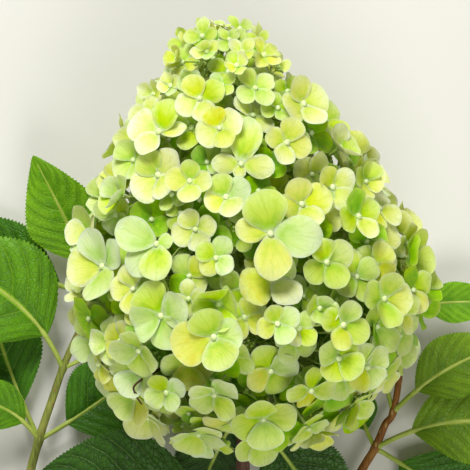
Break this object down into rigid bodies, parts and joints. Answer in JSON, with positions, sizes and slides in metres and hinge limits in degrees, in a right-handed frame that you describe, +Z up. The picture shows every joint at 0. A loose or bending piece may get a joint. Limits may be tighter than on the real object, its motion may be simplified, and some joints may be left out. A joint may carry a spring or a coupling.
{
  "type": "panicle hydrangea branch",
  "caption": "Cut flowering branch of a panicle hydrangea, laid flat: a cone of lime-green four-sepalled florets on a red-brown stem, with leafy side shoots.",
  "frame": {"origin": "middle of the bounding box, at the height of the surface it lies on", "axes": "+Z up, away from the surface; +Y along the stem from the cut end to the bloom's tip; +X to the right of the bloom seen from above"},
  "size_m": [0.2964, 0.368, 0.1527],
  "materials": {
    "bark": "smooth red-brown bark",
    "young_bark": "smooth green-brown bark of this year's growth",
    "flower_stalk": "matt green stalk",
    "leaf": "soft green leaf with sunken veins",
    "sepal": "matt lime-green to cream sepal"
  },
  "bodies": {
    "root": {"left_leaf_1": "leaf", "left_leaf_2": "leaf", "left_leaf_3": "leaf", "left_leaf_4": "leaf", "left_leaf_5": "leaf", "left_leaf_6": "leaf", "left_leaf_7": "leaf", "left_leaf_8": "leaf", "left_shoot_lower": "young_bark", "left_shoot_upper": "young_bark", "main_stem": "bark", "panicle_axis": "flower_stalk", "right_leaf_1": "leaf", "right_leaf_2": "leaf", "right_leaf_3": "leaf", "right_leaf_4": "leaf", "right_leaf_5": "leaf", "right_leaf_6": "leaf", "right_leaf_7": "leaf", "right_shoot_lower": "young_bark", "right_shoot_upper": "young_bark", "spray_1_a": "sepal", "spray_1_b": "sepal", "spray_1_c": "sepal", "spray_2_a": "sepal", "spray_2_b": "sepal", "spray_2_c": "sepal", "spray_3_a": "sepal", "spray_3_b": "sepal", "spray_3_c": "sepal", "spray_4_a": "sepal", "spray_4_b": "sepal", "spray_4_c": "sepal", "spray_5_a": "sepal", "spray_5_b": "sepal", "spray_5_c": "sepal", "spray_6_a": "sepal", "spray_6_b": "sepal", "spray_6_c": "sepal", "spray_7_a": "sepal", "spray_7_b": "sepal", "spray_7_c": "sepal", "spray_8_a": "sepal", "spray_8_b": "sepal", "spray_8_c": "sepal", "spray_tip": "sepal", "stem_leaf_1": "leaf", "stem_leaf_2": "leaf", "stem_leaf_3": "leaf", "stem_leaf_4": "leaf"}
  },
  "joints": []
}
